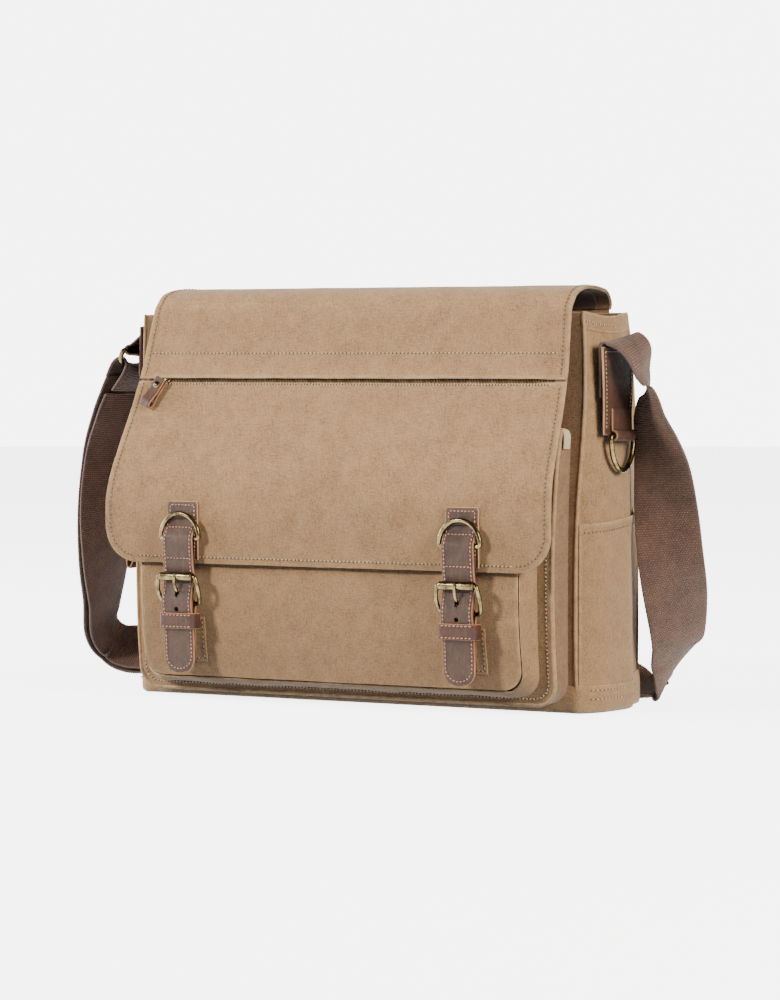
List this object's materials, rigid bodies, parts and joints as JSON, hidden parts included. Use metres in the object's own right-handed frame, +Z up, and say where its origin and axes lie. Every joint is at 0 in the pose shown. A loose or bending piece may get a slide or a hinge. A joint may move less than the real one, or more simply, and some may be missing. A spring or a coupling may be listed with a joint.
{
  "type": "messenger bag",
  "caption": "Canvas messenger bag with a zipped flap held by buckled leather closures, an organizer compartment, a front pocket and a webbing shoulder strap with a slider.",
  "frame": {"origin": "middle of the base's underside", "axes": "+X to the bag's right as seen from the front, the front faces -Y, +Z up"},
  "size_m": [0.5867, 0.2395, 0.316],
  "materials": {
    "canvas": "washed khaki canvas, matte",
    "canvas_shade": "washed khaki canvas, matte, a shade darker",
    "lining": "brown lining with a soft sheen",
    "stiffener": "rigid board, matte",
    "leather": "waxed grey-brown leather, satin",
    "leather_tan": "tan leather with raw edges, satin",
    "antique_brass": "antique, satin",
    "webbing": "heavy cotton webbing, matte",
    "zip_tape": "woven zip tape, matte",
    "cotton_tape": "undyed cotton tape, matte"
  },
  "bodies": {
    "bag": {"base_panel": "canvas", "front_panel": "canvas", "back_panel": "canvas", "gusset_right": "canvas", "gusset_left": "canvas", "base_board": "stiffener", "main_lining": "lining", "laptop_divider": "lining", "side_pocket_right": "canvas", "side_pocket_left": "canvas", "organizer_panel": "canvas", "organizer_gusset": "canvas_shade", "organizer_zip_front": "zip_tape", "organizer_zip_rear": "zip_tape", "organizer_zip_end": "cotton_tape", "pocket_panel": "canvas", "pocket_gusset": "canvas", "snap_patch_right": "canvas", "snap_patch_left": "canvas", "snap_socket_right": "antique_brass", "snap_socket_left": "antique_brass", "tab_right": "leather_tan", "tab_left": "leather", "shoulder_strap": "webbing", "strap_return": "webbing", "strap_slider": "antique_brass"},
    "flap_top": {"flap_top_canvas": "canvas", "flap_top_lining": "lining"},
    "flap_front": {"flap_upper_canvas": "canvas", "flap_lower_canvas": "canvas", "flap_lining": "lining", "flap_zip": "zip_tape", "right_flap_tab": "leather", "right_strap_upper": "leather", "left_flap_tab": "leather", "left_strap_upper": "leather"},
    "d_ring_right": {"right_d_ring": "antique_brass"},
    "closure_right": {"right_strap_lower": "leather", "right_buckle_frame": "antique_brass", "right_chape": "leather", "right_keeper": "leather_tan", "right_snap_stud": "antique_brass"},
    "roller_right": {"right_roller": "antique_brass"},
    "prong_right": {"right_prong": "antique_brass"},
    "d_ring_left": {"left_d_ring": "antique_brass"},
    "closure_left": {"left_strap_lower": "leather", "left_buckle_frame": "antique_brass", "left_chape": "leather", "left_keeper": "leather_tan", "left_snap_stud": "antique_brass"},
    "roller_left": {"left_roller": "antique_brass"},
    "prong_left": {"left_prong": "antique_brass"},
    "flap_slider": {"flap_zip_slider": "antique_brass"},
    "flap_pull": {"flap_zip_pull": "leather"},
    "organizer_slider": {"organizer_zip_slider": "antique_brass"},
    "organizer_pull": {"organizer_zip_pull": "leather"},
    "side_ring_right": {"ring_right": "antique_brass"},
    "side_ring_left": {"ring_left": "antique_brass"}
  },
  "joints": [
    {"name": "flap_hinge", "type": "hinge", "parent": "bag", "child": "flap_top", "pos_m": [0, 0.036, 0.299], "axis": [-1, 0, 0], "range_deg": [0, 180]},
    {"name": "flap_fold", "type": "hinge", "parent": "flap_top", "child": "flap_front", "pos_m": [0, -0.05, 0.3], "axis": [-1, 0, 0], "range_deg": [0, 120]},
    {"name": "d_ring_right_tilt", "type": "hinge", "parent": "flap_front", "child": "d_ring_right", "pos_m": [0.124, -0.1071, 0.125], "axis": [1, 0, 0], "range_deg": [0, 100]},
    {"name": "closure_right_swing", "type": "hinge", "parent": "flap_front", "child": "closure_right", "pos_m": [0.124, -0.1095, 0.1072], "axis": [-1, 0, 0], "range_deg": [0, 90]},
    {"name": "roller_right_spin", "type": "hinge", "parent": "closure_right", "child": "roller_right", "pos_m": [0.124, -0.1112, 0.096], "axis": [1, 0, 0], "continuous": true},
    {"name": "prong_right_lift", "type": "hinge", "parent": "closure_right", "child": "prong_right", "pos_m": [0.124, -0.1042, 0.076], "axis": [1, 0, 0], "range_deg": [0, 8]},
    {"name": "d_ring_left_tilt", "type": "hinge", "parent": "flap_front", "child": "d_ring_left", "pos_m": [-0.124, -0.1071, 0.125], "axis": [1, 0, 0], "range_deg": [0, 100]},
    {"name": "closure_left_swing", "type": "hinge", "parent": "flap_front", "child": "closure_left", "pos_m": [-0.124, -0.1095, 0.1072], "axis": [-1, 0, 0], "range_deg": [0, 90]},
    {"name": "roller_left_spin", "type": "hinge", "parent": "closure_left", "child": "roller_left", "pos_m": [-0.124, -0.1112, 0.096], "axis": [1, 0, 0], "continuous": true},
    {"name": "prong_left_lift", "type": "hinge", "parent": "closure_left", "child": "prong_left", "pos_m": [-0.124, -0.1042, 0.076], "axis": [1, 0, 0], "range_deg": [0, 8]},
    {"name": "flap_zip_travel", "type": "slide", "parent": "flap_front", "child": "flap_slider", "axis": [1, 0, 0], "range_m": [0, 0.33]},
    {"name": "flap_pull_swing", "type": "hinge", "parent": "flap_slider", "child": "flap_pull", "pos_m": [-0.166, -0.0674, 0.2492], "axis": [-1, 0, 0], "range_deg": [0, 140]},
    {"name": "organizer_zip_travel", "type": "slide", "parent": "bag", "child": "organizer_slider", "axis": [0, 0, 1], "range_m": [0, 0.045]},
    {"name": "organizer_pull_swing", "type": "hinge", "parent": "organizer_slider", "child": "organizer_pull", "pos_m": [-0.1916, -0.062, 0.136], "axis": [0, 1, 0], "range_deg": [0, 120]},
    {"name": "side_ring_right_swing", "type": "hinge", "parent": "bag", "child": "side_ring_right", "pos_m": [0.2092, -0.012, 0.206], "axis": [0, -1, 0], "range_deg": [-5, 30]},
    {"name": "side_ring_left_swing", "type": "hinge", "parent": "bag", "child": "side_ring_left", "pos_m": [-0.2228, -0.012, 0.27], "axis": [0, 1, 0], "range_deg": [-10, 15]}
  ]
}
